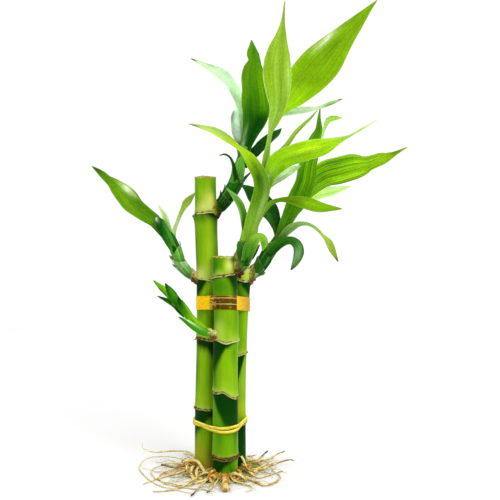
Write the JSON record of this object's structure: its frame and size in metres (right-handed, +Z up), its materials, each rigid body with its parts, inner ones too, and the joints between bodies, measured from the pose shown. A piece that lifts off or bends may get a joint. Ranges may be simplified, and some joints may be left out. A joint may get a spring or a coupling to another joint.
{
  "type": "lucky bamboo",
  "caption": "Rooted cane bundle held upright by a ribbed foil band and a two-strand tie, with leafy side shoots.",
  "frame": {"origin": "middle of the front cane's flat cut foot, on the surface that the bundle stands on", "axes": "+Z up along the canes, +X to the right, -Y the front, where the front cane is"},
  "size_m": [0.2177, 0.092, 0.3303],
  "materials": {
    "cane": "satin",
    "roots": "matte",
    "foil": "gloss",
    "tie": "satin",
    "sheath_dark": "satin",
    "sheath_light": "satin",
    "leaf_bright": "satin",
    "leaf_mid": "satin",
    "leaf_dark": "satin",
    "leaf_pale": "satin"
  },
  "bodies": {
    "root": {"cane_tall": "cane", "cane_front": "cane", "cane_right": "cane", "roots_front": "roots", "roots_tall": "roots", "roots_right": "roots", "gold_band": "foil", "raffia_tie": "tie", "shoot_tall_top": "sheath_dark", "shoot_right_top": "sheath_dark", "shoot_tall_low": "sheath_dark", "shoot_front_top": "sheath_light", "shoot_front_low": "sheath_light", "leaf_front_top_1": "leaf_bright", "leaf_front_top_2": "leaf_bright", "leaf_front_top_3": "leaf_bright", "leaf_front_top_4": "leaf_bright", "leaf_front_top_5": "leaf_bright", "leaf_front_top_12": "leaf_bright", "leaf_right_top_4": "leaf_bright", "leaf_tall_low_1": "leaf_bright", "leaf_tall_top_1": "leaf_mid", "leaf_front_top_6": "leaf_mid", "leaf_front_top_7": "leaf_mid", "leaf_right_top_2": "leaf_mid", "leaf_right_top_3": "leaf_mid", "leaf_tall_low_2": "leaf_mid", "leaf_tall_low_3": "leaf_mid", "leaf_front_low_1": "leaf_mid", "leaf_front_low_2": "leaf_mid", "leaf_front_low_3": "leaf_mid", "leaf_front_low_4": "leaf_mid", "leaf_front_low_5": "leaf_mid", "leaf_tall_top_4": "leaf_dark", "leaf_tall_top_5": "leaf_dark", "leaf_tall_top_6": "leaf_dark", "leaf_front_top_8": "leaf_dark", "leaf_front_top_9": "leaf_dark", "leaf_right_top_1": "leaf_dark", "leaf_right_top_6": "leaf_dark", "leaf_tall_low_4": "leaf_dark", "leaf_tall_top_2": "leaf_pale", "leaf_tall_top_3": "leaf_pale", "leaf_tall_top_7": "leaf_pale", "leaf_front_top_10": "leaf_pale", "leaf_front_top_11": "leaf_pale", "leaf_right_top_5": "leaf_pale"}
  },
  "joints": []
}
